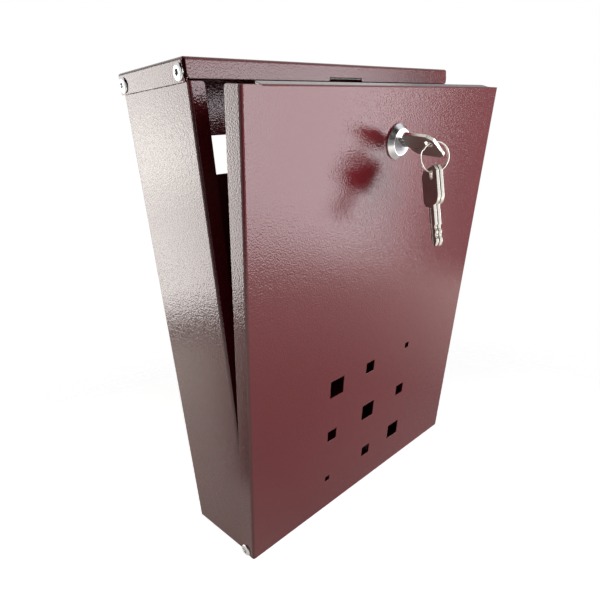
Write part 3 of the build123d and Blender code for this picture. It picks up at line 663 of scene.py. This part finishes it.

# %% [markdown]
# A blind rivet is a turned aluminium bush with a domed head. Its steel stem was pulled through and
# broke off inside, which leaves a hole in the dome. The stem is coloured near black, as painted
# shade in that hole on top of the shade its depth gives. Four of them hold the lid, and two with a
# slightly longer grip are the door's hinge. One rivet and one stem of each kind are made and
# copied to both sides.

# %% Blind rivets
HEAD_RADIUS, HEAD_RIM, HEAD_HEIGHT, DOME_STEPS = 4.7, 0.3, 1.5, 8
MOUTH_RADIUS, MOUTH_FLOOR, STEM_TOP = 1.85, -0.3, 0.35
SHANK_RADIUS, STEM_BORE, STEM_RADIUS, STEM_PLAY = 2.0, 1.35, 1.3, 0.05
BULB_RADIUS, BULB_LENGTH, STEM_HEAD_RADIUS, STEM_HEAD_LENGTH = 2.6, 3.6, 1.8, 1.4
BUSH_STEPS, BUSH_ROUNDING = 48, 0.12 * MM
STEM_STEPS, STEM_ROUNDING = 32, 0.3 * MM
LID_RIVETS, LID_SEAT, LID_GRIP = [(-69.5, 197.8), (-4.8, 197.8)], 128.6, 2.6
HINGE_RIVETS, HINGE_SEAT, HINGE_GRIP = [(-67.5, -136.0)], 128.7, 2.7
dome = []
for step in range(DOME_STEPS + 1):
    angle = math.radians(90 - step * 90 / DOME_STEPS)
    dome.append((MOUTH_RADIUS + (HEAD_RADIUS - MOUTH_RADIUS) * math.cos(angle),
                 HEAD_RIM + (HEAD_HEIGHT - HEAD_RIM) * math.sin(angle)))
tip_radius, tip_bottom = MOUTH_RADIUS - STEM_PLAY, MOUTH_FLOOR + STEM_PLAY
for kind, places, seat, grip in (
    ("lid", LID_RIVETS, LID_SEAT, LID_GRIP), ("hinge", HINGE_RIVETS, HINGE_SEAT, HINGE_GRIP),
):
    end = -grip - BULB_LENGTH
    bush = turned(kind + "_bush", [
        (STEM_BORE, end), (STEM_BORE, MOUTH_FLOOR), (MOUTH_RADIUS, MOUTH_FLOOR), *dome,
        (HEAD_RADIUS, 0.0), (SHANK_RADIUS, 0.0), (SHANK_RADIUS, -grip), (BULB_RADIUS, -grip),
        (BULB_RADIUS, end)], BUSH_STEPS)
    round_edges(bush, BUSH_ROUNDING)
    heads = on_both_sides(bush, "turned_" + kind + "_rivets", places, seat)
    hand_over(heads, kind + "_rivets", "box", "rivet_alu", aluminium)
    pin = turned(kind + "_pin", [
        (0.0, STEM_TOP), (tip_radius, STEM_TOP), (tip_radius, tip_bottom),
        (STEM_RADIUS, tip_bottom), (STEM_RADIUS, end), (STEM_HEAD_RADIUS, end),
        (STEM_HEAD_RADIUS, end - STEM_HEAD_LENGTH), (0.0, end - STEM_HEAD_LENGTH)], STEM_STEPS)
    round_edges(pin, STEM_ROUNDING)
    pins = on_both_sides(pin, "drawn_" + kind + "_stems", places, seat)
    hand_over(pins, kind + "_rivet_stems", "box", "rivet_stem", dark_steel)
    print(kind, "rivets", 2 * len(places))

# %% [markdown]
# The lock housing is turned on a lathe as well: a conical bezel, a recess for the plug, and a
# threaded barrel. A barrel like this has two flats, so that it can't turn in the door. They could
# be cut with a boolean, but that is apt to leave slivers along the thread, so the barrel's sides
# are squeezed flat after the spin, where a mill would take them off.

# %% Turned lock housing
LOCK_AXES = Matrix(((1, 0, 0), (0, -LEAN_SINE, LEAN_COSINE), LOCK_AXIS))
LOCK_PLACE = Matrix.Translation(LOCK_POINT) @ LOCK_AXES.transposed().to_4x4()
BORE, RECESS, RECESS_FLOOR = 6.05, 7.5, 2.8
BEZEL_RADIUS, BEZEL_RIM, FACE_RADIUS, FACE_HEIGHT = 11.4, 1.0, 8.5, 4.2
BARREL_RADIUS, THREAD_ROOT, FLAT_AT, BARREL_END = 9.0, 8.45, 8.0, -21.8
THREAD_FIRST, THREAD_LAST, THREAD_STEP = -1.5, -20.5, 0.5
BEHIND_BEZEL, HOUSING_STEPS = -0.01, 96
thread = []
count = round((THREAD_FIRST - THREAD_LAST) / THREAD_STEP)
for index in range(count + 1):
    thread.append((BARREL_RADIUS if index % 2 == 0 else THREAD_ROOT,
                   THREAD_FIRST - index * THREAD_STEP))
section = [
    (BORE, BARREL_END), (BORE, RECESS_FLOOR), (RECESS, RECESS_FLOOR), (RECESS, FACE_HEIGHT),
    (FACE_RADIUS, FACE_HEIGHT), (BEZEL_RADIUS, BEZEL_RIM), (BEZEL_RADIUS, 0.0),
    (BARREL_RADIUS, 0.0), *thread, (THREAD_ROOT, BARREL_END),
]
housing = turned("turned_housing", section, HOUSING_STEPS)
bpy.ops.object.mode_set(mode="EDIT")
for side in (-1, 1):
    bpy.ops.mesh.select_all(action="DESELECT")
    bpy.ops.object.mode_set(mode="OBJECT")
    for vertex in housing.data.vertices:
        beyond = side * vertex.co.x > FLAT_AT * MM
        vertex.select = vertex.co.z < BEHIND_BEZEL * MM and beyond
    bpy.ops.object.mode_set(mode="EDIT")
    bpy.ops.mesh.select_mode(type="VERT")
    bpy.ops.transform.resize(value=(0, 1, 1), center_override=(side * FLAT_AT * MM, 0, 0))
bpy.ops.object.mode_set(mode="OBJECT")
print("housing section points", len(section), "faces", len(housing.data.polygons))

# %% [markdown]
# A small lug stands on the end of the barrel and stops the turning washer. It is a short arc of a
# ring: a flat face at its first end, spun through 40 degrees, and then united with the barrel,
# because the real lug is one casting with it.

# %% Stop lug
LUG_INNER, LUG_OUTER, LUG_HEIGHT = 6.45, 8.6, 1.0
LUG_HALF, LUG_STEPS = math.radians(20), 10
HOUSING_ROUNDING = 0.2 * MM


def unite_or_cut(piece, tool, operation):
    """Unites a piece with a tool body, or cuts the tool out of it, and removes the tool."""
    pick(piece)
    boolean = piece.modifiers.new("unite_or_cut", "BOOLEAN")
    boolean.operation = operation
    boolean.solver = "EXACT"
    boolean.object = tool
    bpy.ops.object.modifier_apply(modifier=boolean.name)
    bpy.data.objects.remove(tool)


bpy.ops.object.select_all(action="DESELECT")
bpy.ops.mesh.primitive_plane_add(size=MM)
lug = bpy.context.object
lug_end, lug_foot = BARREL_END - LUG_HEIGHT, BARREL_END + LUG_HEIGHT / 2
corners = [(LUG_INNER, lug_end), (LUG_OUTER, lug_end), (LUG_INNER, lug_foot), (LUG_OUTER, lug_foot)]
start = math.pi / 2 - LUG_HALF
for vertex, (radius, height) in zip(lug.data.vertices, corners):
    vertex.co = (radius * MM * math.cos(start), radius * MM * math.sin(start), height * MM)
spin_active(LUG_STEPS, -2 * LUG_HALF)
lug_box = (lug.bound_box[0], lug.bound_box[6])
print("lug box", [round(v / MM, 2) for corner in lug_box for v in corner])
unite_or_cut(housing, lug, "UNION")
round_edges(housing, HOUSING_ROUNDING, segments=3)
housing.matrix_world = LOCK_PLACE
bpy.ops.object.transform_apply(location=True, rotation=True, scale=True)
hand_over(housing, "lock_housing", "door", "chrome", chrome)

# %% [markdown]
# A flat key is stamped from nickel plated sheet. Its blade has a milled groove on each face, which
# fits the keyway. The CAD key gives the outline. Two rounded bars cut the grooves, because a bump
# would not catch the light along a groove's edges. The faces get a darker nickel as painted shade,
# in place of a dark reflection, and the rim a bright nickel as a painted highlight.

# %% Key with grooves
KEY_TURN, KEY_SHOULDER = math.radians(-33), 8.4
KEY_PLACE = (LOCK_PLACE @ Matrix.Rotation(KEY_TURN, 4, "Z")
             @ Matrix.Translation((0, 0, KEY_SHOULDER * MM)))
KEY_THICKNESS, KEY_ROUNDING, FACE_FROM = 2.0, 0.22 * MM, 0.95
GROOVE_WIDTH, GROOVE_DEPTH, GROOVE_SIDE, GROOVE_ROUNDING = 1.7, 0.5, 1.2, 0.3 * MM
GROOVE_LOW, GROOVE_HIGH = -28.0, -1.5
FACE_SHADE_INDEX, RIM_HIGHLIGHT_INDEX = 0, 1
key = copy_of_node("key", "grooved_key")
key.data.transform(KEY_PLACE.inverted())
for side in (-1, 1):
    bpy.ops.object.select_all(action="DESELECT")
    bpy.ops.mesh.primitive_cube_add(size=1)
    bar = bpy.context.object
    bar.scale = (GROOVE_WIDTH * MM, 2 * GROOVE_DEPTH * MM, (GROOVE_HIGH - GROOVE_LOW) * MM)
    bar.location = (side * GROOVE_SIDE * MM, side * KEY_THICKNESS / 2 * MM,
                    (GROOVE_LOW + GROOVE_HIGH) / 2 * MM)
    bpy.ops.object.transform_apply(location=True, rotation=True, scale=True)
    bpy.ops.object.mode_set(mode="EDIT")
    bpy.ops.mesh.select_all(action="SELECT")
    bpy.ops.mesh.bevel(offset=GROOVE_ROUNDING, segments=3, affect="EDGES")
    bpy.ops.object.mode_set(mode="OBJECT")
    unite_or_cut(key, bar, "DIFFERENCE")
round_edges(key, KEY_ROUNDING, segments=3)
# Painted shade and highlight: faces that look along Y get the darker nickel, the rims the bright
# one.
for face in key.data.polygons:
    face.material_index = FACE_SHADE_INDEX if abs(face.normal.y) > FACE_FROM else RIM_HIGHLIGHT_INDEX
print("key faces", len(key.data.polygons))

# %% [markdown]
# The spare keys are the same key. Their turns in the air could be typed in, but the CAD nodes hold
# them already: three corners of the key's mesh, and the same three of a spare key's, give the move
# that carries a copy to where the spare key hangs.

# %% Spare keys


def corner_frame(node):
    """A frame from three corners of a node's mesh that lie far apart."""
    points = [vertex.co for vertex in node.data.vertices]
    first = points[0]
    second = max(points, key=lambda point: (point - first).length)
    third = max(points, key=lambda point: (second - first).cross(point - first).length)
    along = (second - first).normalized()
    out = along.cross(third - first).normalized()
    turn = Matrix((along, out.cross(along), out)).transposed().to_4x4()
    return Matrix.Translation(first) @ turn


for node_name, body in (("spare_key_left", "spare_left"), ("spare_key_right", "spare_right")):
    spare = bpy.data.objects.new("grooved_" + node_name, key.data.copy())
    scene.collection.objects.link(spare)
    carry = corner_frame(nodes[node_name]) @ corner_frame(nodes["key"]).inverted()
    spare.data.transform(carry @ KEY_PLACE)
    hand_over(spare, node_name, body, "nickel", nickel, bright_nickel_and_rim_highlight)
    print(spare.name, "on", body)
key.data.transform(KEY_PLACE)
hand_over(key, "key", "key", "nickel", nickel, bright_nickel_and_rim_highlight)
